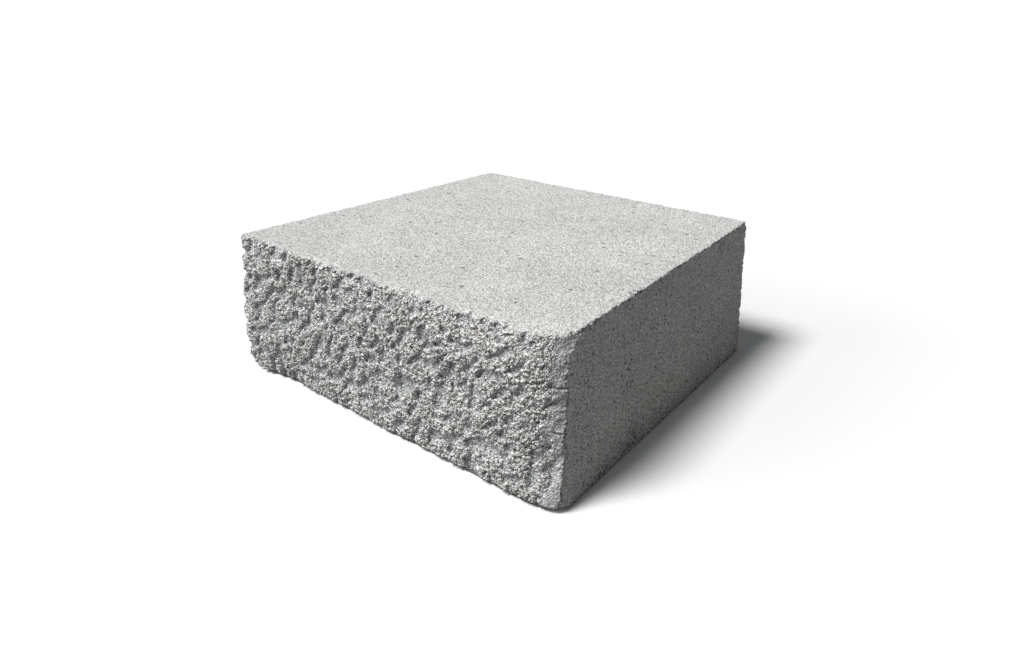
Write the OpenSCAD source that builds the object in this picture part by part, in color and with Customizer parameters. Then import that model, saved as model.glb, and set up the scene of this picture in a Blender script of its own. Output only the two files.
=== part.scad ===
// Retaining wall block
//
// One unit of dry-cast concrete, cast and split as a single solid. The bed, top, sides and rear are
// moulded flat, the sides draw in toward the rear so that blocks can be laid to a curve, and the
// front is a rough split face.
//
// The split face looks toward -Y, +X runs across it and +Z is up. The origin is on the bed plane,
// under the middle of the overall width and depth.

/* [Moulded body] */
// Width across the front corners
front_w = 400; // [300:1:600]
// Depth from the proudest point of the split face to the rear face
block_d = 352; // [240:1:500]
// Height from the bed to the top
block_h = 142; // [90:1:220]
// How far each side draws in between the front corner and the rear corner
side_draw = 28; // [0:1:60]
// Bevel worn along the moulded arrises
arris = 1.5; // [0.5:0.1:4]

/* [Split face] */
// How far the slow swell of the split can fall back from its proudest point
swell = 20; // [0:1:30]
// How far the random knobs of a crust stand out
knob = 1.6; // [0:0.1:8]
// Spacing of the knobs
knob_pitch = 7; // [6:1:20]
// How far a knob can lie from its even place, across the face and up it
knob_scatter = 1.5; // [0:0.1:1.7]
// How far the hollows lie behind the crusts of knobs
hollow_depth = 3.6; // [0:0.1:6]
// Share of the face that is hollow
hollow_share = 0.35; // [0:0.05:1]
// Seed that places the knobs
knob_seed = 7; // [1:1:99]

/* [Broken edges of the split face] */
// Width of the spalled band along the top of the split
top_band = 6; // [2:0.5:15]
// How far the split falls back at its very top
top_fall = 1.5; // [0:0.5:8]
// Width of the spalled band along the foot of the split
foot_band = 9; // [2:0.5:15]
// How far the split falls back at its very foot
foot_fall = 5; // [0:0.5:8]
// Width of the rounded band at the right front corner
right_band = 22; // [4:1:40]
// How far the right front corner is rounded back at its top
right_fall = 20; // [0:1:25]
// How far the right front corner is rounded back at its foot
right_foot_fall = 7; // [0:1:25]
// Width of the rounded band at the left front corner
left_band = 12; // [4:1:40]
// How far the left front corner is rounded back
left_fall = 4; // [0:1:25]
// Reach of the chip at the top of the right front corner
top_chip_r = 26; // [8:1:50]
// Depth of the chip at the top of the right front corner
top_chip_d = 20; // [0:1:25]
// Reach of the chip at the foot of the left front corner
foot_chip_r = 18; // [8:1:50]
// Depth of the chip at the foot of the left front corner
foot_chip_d = 9; // [0:1:25]

/* [Hidden] */
concrete = [0.74, 0.74, 0.73];

// Lay of the split, as shares of the swell behind its proudest point: one row for each even level
// from the foot to the top, one value for each even station from the left corner to the right.
LAY = [
    [0.20, 0.55, 0.50, 0.40, 0.35, 0.30, 0.20, 0.15, 0.00],
    [0.15, 0.40, 0.45, 0.35, 0.30, 0.25, 0.15, 0.10, 0.25],
    [0.10, 0.25, 0.35, 0.30, 0.30, 0.25, 0.15, 0.10, 0.35],
    [0.20, 0.30, 0.35, 0.30, 0.25, 0.20, 0.10, 0.05, 0.25],
    [0.35, 0.35, 0.40, 0.30, 0.20, 0.20, 0.10, 0.05, 0.25],
    [0.45, 0.40, 0.40, 0.35, 0.25, 0.20, 0.05, 0.00, 0.25],
    [0.50, 0.40, 0.40, 0.40, 0.40, 0.25, 0.25, 0.45, 0.30]
];

// The relief runs past the moulded faces by this much, so that they trim it cleanly
overrun = 1.5 * knob_pitch;
columns = round((front_w + 2 * overrun) / knob_pitch);
rows = round((block_h + 2 * overrun) / knob_pitch);
count = (columns + 1) * (rows + 1);
shares = rands(0, 1, count, knob_seed);
scatter_x = rands(-knob_scatter, knob_scatter, count, knob_seed + 1);
scatter_z = rands(-knob_scatter, knob_scatter, count, knob_seed + 2);

// Smooth curve through evenly spaced values
function cubic(a, b, c, d, t) =
    b + t / 2 * (c - a + t * (2 * a - 5 * b + 4 * c - d + t * (3 * (b - c) + d - a)));
function along(values, share) =
    let (
        last = len(values) - 1,
        place = min(max(share, 0), 1) * last,
        i = min(floor(place), last - 1)
    )
    cubic(values[max(i - 1, 0)], values[i], values[i + 1], values[min(i + 2, last)], place - i);

// How far the swell lies back at a point of the face, x across it and z up it
function swell_back(x, z) =
    swell * along([for (level = LAY) along(level, x / front_w + 0.5)], z / block_h);

// Fall of a broken edge: all of it at the edge, none at its reach
function fall(depth, reach, distance) = depth * pow(1 - min(max(distance / reach, 0), 1), 2);
function right_back(z) =
    right_foot_fall + (right_fall - right_foot_fall) * min(max(z / block_h, 0), 1);
function edges_back(x, z) =
    fall(top_fall, top_band, block_h - z)
    + fall(foot_fall, foot_band, z)
    + fall(right_back(z), right_band, front_w / 2 - x)
    + fall(left_fall, left_band, x + front_w / 2)
    + fall(top_chip_d, top_chip_r, norm([front_w / 2 - x, block_h - z]))
    + fall(foot_chip_d, foot_chip_r, norm([front_w / 2 + x, z]));

// How far a grid point lies back for its random share: little on the crusts, and a steep step
// down into the hollows, which takes up a small part of the shares
step = 0.3;
function ease(t) = t * t * (3 - 2 * t);
function knob_back(share) =
    let (into = (share - 1 + hollow_share) / step + 0.5)
    knob * share + hollow_depth * ease(min(max(into, 0), 1));

// Grid of the split face, row by row from below the foot to above the top, even along its rim and
// scattered inside it
function number(i, j) = j * (columns + 1) + i;
function inside(k, last) = k > 0 && k < last ? 1 : 0;
function grid_x(i, j) =
    (i / columns - 0.5) * (front_w + 2 * overrun) + inside(i, columns) * scatter_x[number(i, j)];
function grid_z(i, j) =
    j / rows * (block_h + 2 * overrun) - overrun + inside(j, rows) * scatter_z[number(i, j)];
backs = [
    for (j = [0:rows], i = [0:columns])
        let (x = grid_x(i, j), z = grid_z(i, j))
        swell_back(x, z) + edges_back(x, z) + knob_back(shares[number(i, j)])
];
proudest = min(backs);

// The split as a solid: its relief in front, plain planes outside the moulded body elsewhere
module split_relief() {
    side = front_w / 2 + overrun;
    rear = block_d / 2 + overrun;
    corner = count;
    points = concat(
        [
            for (j = [0:rows], i = [0:columns])
                [grid_x(i, j), backs[number(i, j)] - proudest - block_d / 2, grid_z(i, j)]
        ],
        [
            for (z = [-overrun, block_h + overrun], x = [-side, side])
                [x, rear, z]
        ]
    );
    relief = [
        for (j = [0:rows - 1], i = [0:columns - 1])
            let (
                a = number(i, j),
                b = number(i + 1, j),
                c = number(i + 1, j + 1),
                d = number(i, j + 1)
            )
            each [[a, c, b], [a, d, c]]
    ];
    foot = concat([for (i = [0:columns]) i], [corner + 1, corner]);
    top = concat([for (i = [columns:-1:0]) number(i, rows)], [corner + 2, corner + 3]);
    left = concat([for (j = [rows:-1:0]) number(0, j)], [corner, corner + 2]);
    right = concat([for (j = [0:rows]) number(columns, j)], [corner + 3, corner + 1]);
    back = [corner, corner + 1, corner + 3, corner + 2];
    polyhedron(points, concat(relief, [foot, top, left, right, back]), convexity = 4);
}

// Plan of the moulded body, drawn in by inset on the sides and at the rear
function half_width(y) = front_w / 2 - side_draw * (y / block_d + 0.5);
module plan(inset, corner_cut) {
    front = -block_d / 2;
    rear = block_d / 2 - inset;
    polygon([
        [-half_width(front) + inset, front],
        [half_width(front) - inset, front],
        [half_width(rear - corner_cut) - inset, rear - corner_cut],
        [half_width(rear) - inset - corner_cut, rear],
        [inset + corner_cut - half_width(rear), rear],
        [inset - half_width(rear - corner_cut), rear - corner_cut]
    ]);
}

// The block as it leaves the mould, with its arrises worn
module moulded_body() {
    hull() {
        linear_extrude(block_h) plan(arris, arris);
        translate([0, 0, arris]) linear_extrude(block_h - 2 * arris) plan(0, arris);
    }
}

module wall_block() {
    color(concrete) intersection() {
        moulded_body();
        split_relief();
    }
}

wall_block();
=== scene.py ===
"""Looks of a retaining wall block: one unit of dry-cast concrete, moulded on five faces and split on one.

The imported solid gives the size, the draw of the sides and the lay of the split face. This script skins
it with one closed mesh that carries the broken grain, the worn arrises and the pits. It gives the skin
one finish for its sides, one for its top and one for the split face, and stands the block on a plain
white floor. All lengths are in metres.
"""

import logging
import math
from dataclasses import dataclass, field
from enum import Enum

import bpy
import numpy as np
from mathutils import Matrix, Vector
from mathutils.bvhtree import BVHTree


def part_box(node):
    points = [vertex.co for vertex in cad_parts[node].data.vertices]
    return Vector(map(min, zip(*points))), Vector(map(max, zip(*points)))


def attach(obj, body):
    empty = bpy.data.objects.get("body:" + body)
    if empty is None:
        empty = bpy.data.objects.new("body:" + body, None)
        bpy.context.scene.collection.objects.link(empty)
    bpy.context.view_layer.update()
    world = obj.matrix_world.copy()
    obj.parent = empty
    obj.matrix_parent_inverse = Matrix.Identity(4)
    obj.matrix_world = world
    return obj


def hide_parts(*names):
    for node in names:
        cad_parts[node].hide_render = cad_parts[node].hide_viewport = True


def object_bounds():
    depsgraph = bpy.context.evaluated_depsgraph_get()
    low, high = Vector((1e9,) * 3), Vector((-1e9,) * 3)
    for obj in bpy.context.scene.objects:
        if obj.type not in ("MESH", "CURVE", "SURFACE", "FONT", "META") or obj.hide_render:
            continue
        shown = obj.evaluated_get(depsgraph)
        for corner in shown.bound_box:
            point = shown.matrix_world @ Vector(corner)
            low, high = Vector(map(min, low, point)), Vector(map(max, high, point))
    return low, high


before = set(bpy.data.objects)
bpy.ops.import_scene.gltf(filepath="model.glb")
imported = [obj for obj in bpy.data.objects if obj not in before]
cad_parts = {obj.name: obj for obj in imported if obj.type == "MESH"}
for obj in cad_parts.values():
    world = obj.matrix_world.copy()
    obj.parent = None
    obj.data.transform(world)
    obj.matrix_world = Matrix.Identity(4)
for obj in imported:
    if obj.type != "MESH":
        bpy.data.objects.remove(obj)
CAD_BOX = [list(corner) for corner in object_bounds()]

MM = 0.001
NODE = "wall_block"
BODY = "root"
CHIP_PITCH = 3.4 * MM
WHITE = (1, 1, 1, 1)
TINY = 1e-12

Band = tuple[float, float]

log = logging.getLogger(NODE)


# ---------------------------------------------------------------------------------------------
# Fields: noise and stamped marks over a plane
# ---------------------------------------------------------------------------------------------


def smoothstep(low: float, high: float, value: np.ndarray) -> np.ndarray:
    """Rises smoothly from 0 at low to 1 at high.

    Args:
        low: Value at which the rise starts.
        high: Value at which it ends. It may be the lower of the two, for a fall.
        value: What is mapped.

    Returns:
        The mapped values, from 0 to 1.
    """
    share = np.clip((value - low) / (high - low), 0, 1)
    return share * share * (3 - 2 * share)


class Noise:
    """Seeded noise over a plane. Each call draws its own table, so the order of calls is part of it.

    Attributes:
        CELLS: Number of cells each way after which the noise repeats.
        GRAIN_PLACE: Where the middle of a grain can lie across its cell, as shares of the cell.
        GRAIN_RADIUS: Least and greatest radius of a grain, as shares of its reach.
        GRAIN_HEIGHT: Least and greatest height of a grain.
        GRAIN_ROUNDNESS: Power that shapes a grain. A lower one makes it flatter on top.
    """

    CELLS = 128
    GRAIN_PLACE = (0.1, 0.9)
    GRAIN_RADIUS = (0.6, 1)
    GRAIN_HEIGHT = (0.35, 1)
    GRAIN_ROUNDNESS = 0.6

    def __init__(self, seed: int) -> None:
        """Starts the random numbers from a seed."""
        self.random = np.random.default_rng(seed)

    def smooth(self, u: np.ndarray, v: np.ndarray, pitch: float) -> np.ndarray:
        """Makes soft value noise.

        Args:
            u: First coordinate of each point.
            v: Second coordinate of each point.
            pitch: Distance over which the noise turns over once.

        Returns:
            Values from -1 to 1.
        """
        table = self.random.uniform(-1, 1, (self.CELLS, self.CELLS))
        u, v = u / pitch, v / pitch
        i, j = np.floor(u).astype(int), np.floor(v).astype(int)
        a, b = smoothstep(0, 1, u - i), smoothstep(0, 1, v - j)
        corner = [[table[(i + di) % self.CELLS, (j + dj) % self.CELLS] for di in (0, 1)] for dj in (0, 1)]
        low, high = ((1 - a) * pair[0] + a * pair[1] for pair in corner)
        return (1 - b) * low + b * high

    def fractal(self, u: np.ndarray, v: np.ndarray, pitch: float, octaves: int) -> np.ndarray:
        """Adds octaves of soft noise, each half as wide and half as strong as the one before.

        Args:
            u: First coordinate of each point.
            v: Second coordinate of each point.
            pitch: Pitch of the widest octave.
            octaves: Number of octaves.

        Returns:
            Values from about -1 to 1.
        """
        total = sum(0.5**n * self.smooth(u, v, pitch * 0.5**n) for n in range(octaves))
        return total / (2 - 0.5 ** (octaves - 1))

    def domes(self, u: np.ndarray, v: np.ndarray, pitch: float, reach: float) -> np.ndarray:
        """Scatters rounded grains, one in each cell of a grid, and keeps the highest where they overlap.

        Args:
            u: First coordinate of each point.
            v: Second coordinate of each point.
            pitch: Mean distance between grains.
            reach: Radius of the widest grain, as a share of the pitch.

        Returns:
            Height of the grains, from 0 between them to 1 on the tallest.
        """
        size = (self.CELLS, self.CELLS)
        across, up = (self.random.uniform(*self.GRAIN_PLACE, size) for _ in range(2))
        radius = self.random.uniform(*self.GRAIN_RADIUS, size) * reach
        height = self.random.uniform(*self.GRAIN_HEIGHT, size)
        u, v = u / pitch, v / pitch
        i, j = np.floor(u).astype(int), np.floor(v).astype(int)
        top = np.zeros(u.shape)
        for di in (-1, 0, 1):
            for dj in (-1, 0, 1):
                cell = ((i + di) % self.CELLS, (j + dj) % self.CELLS)
                away = np.hypot(u - i - di - across[cell], v - j - dj - up[cell]) / radius[cell]
                dome = height[cell] * np.clip(1 - away**2, 0, 1) ** self.GRAIN_ROUNDNESS
                top = np.maximum(top, dome)
        return top


@dataclass(frozen=True)
class Sheet:
    """An even grid over a plane, on which fields are worked out and read back."""

    u_low: float
    u_high: float
    v_low: float
    v_high: float
    pitch: float

    def points(self) -> tuple[np.ndarray, np.ndarray]:
        """Lays the grid out.

        Returns:
            The u and the v of every grid point, as two arrays with a row for each v.
        """
        u = np.arange(self.u_low, self.u_high + self.pitch, self.pitch)
        v = np.arange(self.v_low, self.v_high + self.pitch, self.pitch)
        return tuple(np.meshgrid(u, v))

    def read(self, values: np.ndarray, u: np.ndarray, v: np.ndarray) -> np.ndarray:
        """Reads a field between its grid points.

        Args:
            values: The field, one value for each grid point.
            u: First coordinate of each place.
            v: Second coordinate of each place.

        Returns:
            The field at those places, held at its edge value outside the grid.
        """
        just_inside = 1.001
        rows, columns = values.shape
        a = np.clip((u - self.u_low) / self.pitch, 0, columns - just_inside)
        b = np.clip((v - self.v_low) / self.pitch, 0, rows - just_inside)
        i, j = a.astype(int), b.astype(int)
        a, b = a - i, b - j
        low = (1 - a) * values[j, i] + a * values[j, i + 1]
        high = (1 - a) * values[j + 1, i] + a * values[j + 1, i + 1]
        return (1 - b) * low + b * high


def soften(values: np.ndarray, sigma: float) -> np.ndarray:
    """Blurs a field, and keeps its slope at the edges.

    Args:
        values: The field.
        sigma: Width of the blur, in grid points.

    Returns:
        The blurred field.
    """
    reach = math.ceil(3 * sigma)
    weight = np.exp(-0.5 * (np.arange(-reach, reach + 1) / sigma) ** 2)
    weight /= weight.sum()
    for _ in range(2):
        padded = np.pad(values, ((reach, reach), (0, 0)), mode="reflect", reflect_type="odd")
        rows = len(values)
        values = sum(share * padded[n : n + rows] for n, share in enumerate(weight)).T
    return values


@dataclass(frozen=True)
class Pits:
    """Round pits left by trapped air and lost grains, scattered over a moulded face.

    Attributes:
        count: Number of pits.
        smallest: Radius of the smallest.
        largest: Radius of the largest.
        depth: Depth of each, as a share of its radius.
        margin: Least distance from the edge of the face.
        crowding: How far the sizes crowd toward the smallest.
        stretch: Least and greatest stretch across the face.
        wall: Where the wall of a pit starts and ends, as shares of its radius.
        window: How far round its middle a pit is worked out, as a share of its radius.
    """

    count: int
    smallest: float
    largest: float
    depth: float
    margin: float
    crowding: float = 2.5
    stretch: Band = (0.6, 1.6)
    wall: Band = (1.15, 0.45)
    window: float = 2.2

    def press(self, sheet: Sheet, noise: Noise) -> np.ndarray:
        """Presses the pits into a field.

        Args:
            sheet: The grid of the face.
            noise: Where the random places and sizes come from.

        Returns:
            Depth below the face at each grid point.
        """
        u, v = sheet.points()
        depth = np.zeros(u.shape)
        for _ in range(self.count):
            middle_u = noise.random.uniform(sheet.u_low + self.margin, sheet.u_high - self.margin)
            middle_v = noise.random.uniform(sheet.v_low + self.margin, sheet.v_high - self.margin)
            size = noise.random.uniform() ** self.crowding
            radius = self.smallest * (self.largest / self.smallest) ** size
            stretch = noise.random.uniform(*self.stretch)
            row = int((middle_v - sheet.v_low) / sheet.pitch)
            column = int((middle_u - sheet.u_low) / sheet.pitch)
            reach = math.ceil(self.window * radius / sheet.pitch)
            window = tuple(slice(max(place - reach, 0), place + reach + 1) for place in (row, column))
            away = np.hypot((u[window] - middle_u) / stretch, (v[window] - middle_v) * stretch) / radius
            pit = self.depth * radius * smoothstep(*self.wall, away)
            depth[window] = np.maximum(depth[window], pit)
        return depth


# ---------------------------------------------------------------------------------------------
# The solid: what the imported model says
# ---------------------------------------------------------------------------------------------


class Face(Enum):
    """The six faces of the block: the axis each looks along, and which way along it."""

    FRONT = (1, -1)
    REAR = (1, 1)
    LEFT = (0, -1)
    RIGHT = (0, 1)
    TOP = (2, 1)
    BED = (2, -1)

    @property
    def flat(self) -> tuple[int, int]:
        """The two axes that the face lies along."""
        return ((1, 2), (0, 2), (0, 1))[self.value[0]]


@dataclass
class Solid:
    """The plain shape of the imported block: its box, the draw of its sides and the lay of its split.

    Attributes:
        cast_pitch: Distance between the rays that feel the split.
        facet_blur: Blur that takes the facets out of what they feel.
        swell_blur: Blur that leaves only the slow swell of the split.
        edge_clearance: How far inside the bed and the top the rays stay.
        standoff: How far in front of the split the rays start.
        run_on: Number of points whose slope the split runs on with, where the rays miss.
        side_stations: Where the sides are felt, as shares of the way to the front and to the rear.
        low: Lower corner of the solid's box.
        high: Upper corner of the solid's box.
        draw: How much half the width falls for each metre toward the rear.
        middle_half_width: Half the width at y 0.
        sheet: The grid that the split is felt on.
        lay: The y of the split, without its facets.
        knobs: How far the knobs of the split stand out from its swell.
    """

    cast_pitch: float = 1 * MM
    facet_blur: float = 1.2 * MM
    swell_blur: float = 8 * MM
    edge_clearance: float = 0.6 * MM
    standoff: float = 100 * MM
    run_on: int = 4
    side_stations: Band = (0.5, 0.9)
    low: Vector = field(init=False)
    high: Vector = field(init=False)
    draw: float = field(init=False)
    middle_half_width: float = field(init=False)
    sheet: Sheet = field(init=False)
    lay: np.ndarray = field(init=False)
    knobs: np.ndarray = field(init=False)

    def __post_init__(self) -> None:
        """Measures the node."""
        self.low, self.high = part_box(NODE)
        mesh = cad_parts[NODE].data
        corners = [vertex.co for vertex in mesh.vertices]
        self.tree = BVHTree.FromPolygons(corners, [polygon.vertices for polygon in mesh.polygons])
        stations = (self.side_stations[0] * self.low.y, self.side_stations[1] * self.high.y)
        near, far = (self.side_at(y) for y in stations)
        self.draw = (near - far) / (stations[1] - stations[0])
        self.middle_half_width = near + self.draw * stations[0]
        self.sheet = Sheet(self.low.x, self.high.x, self.low.z, self.high.z, self.cast_pitch)
        self.lay = soften(self.cast_lay(), self.facet_blur / self.cast_pitch)
        self.knobs = soften(self.lay, self.swell_blur / self.cast_pitch) - self.lay

    @property
    def height(self) -> float:
        """Height from the bed to the top."""
        return self.high.z - self.low.z

    def side_at(self, y: float) -> float:
        """Finds how far the right side lies from the middle plane at a depth."""
        start = Vector((0, y, (self.low.z + self.high.z) / 2))
        return self.tree.ray_cast(start, Vector((1, 0, 0)))[0].x

    def half_width(self, y: np.ndarray) -> np.ndarray:
        """Gives half the width between the moulded sides at a depth."""
        return self.middle_half_width - self.draw * y

    def cast_lay(self) -> np.ndarray:
        """Feels the split face with rays, and runs it on in a straight line where they miss.

        Returns:
            The y of the split face at each point of the sheet.
        """
        across, up = self.sheet.points()
        lay = np.full(across.shape, np.nan)
        inside = (self.low.z + self.edge_clearance, self.high.z - self.edge_clearance)
        start = self.low.y - self.standoff
        for place in np.ndindex(across.shape):
            z = min(max(up[place], inside[0]), inside[1])
            hit = self.tree.ray_cast(Vector((across[place], start, z)), Vector((0, 1, 0)))[0]
            if hit is not None:
                lay[place] = hit.y
        for row in lay:
            felt = np.flatnonzero((row < self.low.y / 2) & ~np.isnan(row))
            first, last = felt[0], felt[-1]
            slope = (row[first + self.run_on] - row[first]) / self.run_on
            row[:first] = row[first] - slope * np.arange(first, 0, -1)
            slope = (row[last] - row[last - self.run_on]) / self.run_on
            row[last + 1 :] = row[last] + slope * np.arange(1, len(row) - last)
        return lay


# ---------------------------------------------------------------------------------------------
# The split face: broken grain over the lay of the solid
# ---------------------------------------------------------------------------------------------


@dataclass
class SplitFace:
    """Broken concrete: crusts of clumped grains, with smoother hollows where coarse stones pulled out.

    Attributes:
        y: The y of the finished face at each point of its sheet.
        hollow: 1 in the hollows and 0 on the crusts.
        calm: 1 in the calm strip along the right edge and 0 elsewhere.
        cavity: How far each point stands out from those around it, in millimetres.
    """

    solid: Solid
    seed: int = 11
    pitch: float = 0.4 * MM

    # The crusts and the hollows between them
    zone_pitch: float = 15 * MM
    zone_share: float = 0.45
    knob_reach: float = 1.6 * MM
    crust_edge: Band = (-0.45, -0.15)
    crust_height: float = 0.9 * MM

    # The solid's knobs: how their outlines wander, and how far they are worn off
    outline_bend: float = 2.2 * MM
    outline_pitch: float = 7 * MM
    worn: float = 0.5
    worn_reach: float = 22 * MM
    calm_wear: float = 0.85

    # Nubs, grains and sand: radii as shares of their pitches, and shares of the height that hollows keep
    bend: float = 1.0 * MM
    bend_pitch: float = 4 * MM
    nub_pitch: float = 4.6 * MM
    nub_height: float = 2.2 * MM
    nub_radius: float = 0.68
    nub_kept: float = 0.2
    grain_pitch: float = 2.3 * MM
    grain_height: float = 2.0 * MM
    grain_radius: float = 0.66
    grain_kept: float = 0.45
    sand_pitch: float = 1.5 * MM
    sand_height: float = 0.35 * MM
    sand_radius: float = 0.62
    ragged: float = 0.5 * MM
    ragged_pitch: float = 14 * MM

    # The relief as a whole
    set_back: float = 0.7 * MM
    cavity_blur: float = 1.6 * MM
    unroll: float = 0.7

    # The calm strip along the right edge, which fades out between two shares of its width
    calm_band: float = 13 * MM
    calm_fade: Band = (1.1, 0.6)
    calm_ragged: float = 9 * MM
    calm_share: float = 0.4

    # Chips off the top and the right edge. The bands say at which noise a chip starts and is whole.
    bite: float = 3.6 * MM
    bite_noise: Band = (-0.5, 0.9)
    bite_squash: float = 0.2
    bite_pitch: float = 3.6 * MM
    bite_slope: float = 0.75
    side_bite: float = 1.2 * MM
    side_bite_noise: Band = (-0.3, 0.9)

    # The foot
    foot_reach: float = 9 * MM
    foot_band: float = 6.5 * MM
    foot_set_back: float = 1.2 * MM
    foot_blur: float = 18 * MM

    # Cracks in from the right edge: the level and the length of each. The floor and the full depth
    # are shares of the half width and of the length.
    cracks: tuple[tuple[float, float], ...] = ((102 * MM, 15 * MM), (67 * MM, 12 * MM))
    crack_depth: float = 2.2 * MM
    crack_half_width: float = 1.0 * MM
    crack_floor: float = 0.2
    crack_full: float = 0.6
    crack_wander: float = 1.5 * MM
    crack_wander_pitch: float = 5 * MM

    sheet: Sheet = field(init=False)
    y: np.ndarray = field(init=False)
    hollow: np.ndarray = field(init=False)
    calm: np.ndarray = field(init=False)
    cavity: np.ndarray = field(init=False)

    def __post_init__(self) -> None:
        """Works the relief out over the whole face."""
        solid = self.solid
        self.sheet = Sheet(solid.low.x - MM, solid.high.x + MM, solid.low.z, solid.high.z, self.pitch)
        x, z = self.sheet.points()
        noise = Noise(self.seed)
        bent_x = x + self.outline_bend * noise.fractal(x, z, self.outline_pitch, 3)
        bent_z = z + self.outline_bend * noise.fractal(x, z, self.outline_pitch, 3)
        above_foot = solid.low.z + self.foot_reach
        foot = solid.sheet.read(solid.lay, x, solid.low.z)
        knobs = solid.sheet.read(solid.knobs, bent_x, np.maximum(bent_z, above_foot))
        calm = self.calmness(x, z, noise)
        from_left = smoothstep(self.worn_reach, 0, x - solid.low.x)
        worn = np.maximum(self.worn, self.calm_wear * np.maximum(calm, from_left))
        swell = solid.sheet.read(solid.lay + solid.knobs, x, np.maximum(z, above_foot))
        lay = swell - (1 - worn) * knobs
        fallen = self.unroll * (lay - solid.low.y)
        rough = self.roughness(x, z, knobs, noise)
        relief = self.grain(x + fallen, z, rough, noise) + self.crust_height * rough
        relief -= relief.mean() + self.set_back
        relief *= 1 + (self.calm_share - 1) * calm
        relief -= self.cut_cracks(x, z, noise) + self.bite_edges(x, z, noise)
        self.hollow = 1 - rough
        self.calm = calm
        self.cavity = (relief - soften(relief, self.cavity_blur / self.pitch)) / MM
        self.y = np.maximum(self.straighten(lay - relief, foot[0], z), solid.low.y)

    def roughness(self, x: np.ndarray, z: np.ndarray, knobs: np.ndarray, noise: Noise) -> np.ndarray:
        """Maps the crusts of grains, as on the knobs (1), and the smoother hollows (0)."""
        stand = knobs / self.knob_reach + self.zone_share * noise.fractal(x, z, self.zone_pitch, 4)
        return smoothstep(*self.crust_edge, stand)

    def calmness(self, x: np.ndarray, z: np.ndarray, noise: Noise) -> np.ndarray:
        """Maps the calmer strip along the right edge (1 in it and 0 elsewhere)."""
        from_right = self.solid.high.x - x + self.calm_ragged * noise.fractal(x, z, self.ragged_pitch, 2)
        start, end = (share * self.calm_band for share in self.calm_fade)
        return smoothstep(start, end, from_right)

    def bite_edges(self, x: np.ndarray, z: np.ndarray, noise: Noise) -> np.ndarray:
        """Bites small slanted chips off the top and the right edge.

        Args:
            x: Place across the face.
            z: Place up the face.
            noise: Where the random numbers come from.

        Returns:
            Depth of the chips at each point.
        """
        along_top = noise.fractal(x, self.bite_squash * z, self.bite_pitch, 3)
        size = self.bite * smoothstep(*self.bite_noise, along_top)
        along_side = noise.fractal(self.bite_squash * x, z, self.bite_pitch, 3)
        side_size = self.side_bite * smoothstep(*self.side_bite_noise, along_side)
        from_top = (self.solid.high.z - z) / self.bite_slope
        from_side = (self.solid.high.x - x) / self.bite_slope
        return np.maximum(np.maximum(size - from_top, side_size - from_side), 0)

    def straighten(self, broken: np.ndarray, foot: np.ndarray, z: np.ndarray) -> np.ndarray:
        """Draws the foot of the split in to a nearly straight line.

        Args:
            broken: The y of the broken face.
            foot: The y of the foot of the solid's face, from left to right.
            z: Height of each point.

        Returns:
            The y of the face with its foot drawn in.
        """
        reach = math.ceil(self.foot_blur / self.pitch)
        line = np.pad(foot, 2 * reach, mode="reflect", reflect_type="odd")
        for _ in range(2):
            line = np.convolve(line, np.full(2 * reach + 1, 1 / (2 * reach + 1)), mode="valid")
        share = smoothstep(self.foot_band, 0, z - self.solid.low.z)
        return broken + share * (line + self.foot_set_back - broken)

    def grain(self, x: np.ndarray, z: np.ndarray, rough: np.ndarray, noise: Noise) -> np.ndarray:
        """Piles up nubs, grains and sand. The clumps under them are the knobs of the solid.

        Args:
            x: Place across the face.
            z: Place up the face.
            rough: 1 in the crusts and 0 in the hollows.
            noise: Where the random numbers come from.

        Returns:
            Height of the relief above the lay.
        """
        bend_x = x + self.bend * noise.fractal(x, z, self.bend_pitch, 2)
        bend_z = z + self.bend * noise.fractal(x, z, self.bend_pitch, 2)
        nubs = noise.domes(bend_x, bend_z, self.nub_pitch, self.nub_radius)
        grains = noise.domes(bend_x, bend_z, self.grain_pitch, self.grain_radius)
        sand = noise.domes(x, z, self.sand_pitch, self.sand_radius)
        return (
            self.nub_height * nubs * (self.nub_kept + (1 - self.nub_kept) * rough)
            + self.grain_height * grains * (self.grain_kept + (1 - self.grain_kept) * rough)
            + self.sand_height * sand
            + self.ragged * noise.fractal(x, z, self.ragged_pitch, 4)
        )

    def cut_cracks(self, x: np.ndarray, z: np.ndarray, noise: Noise) -> np.ndarray:
        """Cuts the short level cracks.

        Args:
            x: Place across the face.
            z: Place up the face.
            noise: Where the random numbers come from.

        Returns:
            Depth of the cracks at each point.
        """
        depth = np.zeros(x.shape)
        for level, length in self.cracks:
            line = level + self.crack_wander * noise.smooth(x, x, self.crack_wander_pitch)
            floor = self.crack_floor * self.crack_half_width
            across = smoothstep(self.crack_half_width, floor, np.abs(z - line))
            along = smoothstep(length, self.crack_full * length, self.solid.high.x - x)
            depth += self.crack_depth * across * along
        return depth

    def at(self, values: np.ndarray, x: np.ndarray, z: np.ndarray) -> np.ndarray:
        """Reads one of the face's fields at places on it."""
        return self.sheet.read(values, x, z)


# ---------------------------------------------------------------------------------------------
# The block: one closed mesh
# ---------------------------------------------------------------------------------------------


def graded(length: float, step: float, rim: float, rim_step: float) -> np.ndarray:
    """Spaces lines along a length: close together in a rim at each end, even between.

    Args:
        length: The whole length.
        step: Wanted distance between lines in the middle.
        rim: Width of the rim at each end.
        rim_step: Distance between lines in the rims.

    Returns:
        Places of the lines, from 0 to the length.
    """
    near = np.arange(0, rim - 0.5 * rim_step, rim_step)
    middle = np.linspace(rim, length - rim, round((length - 2 * rim) / step) + 1)
    return np.concatenate([near, middle, length - near[::-1]])


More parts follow.
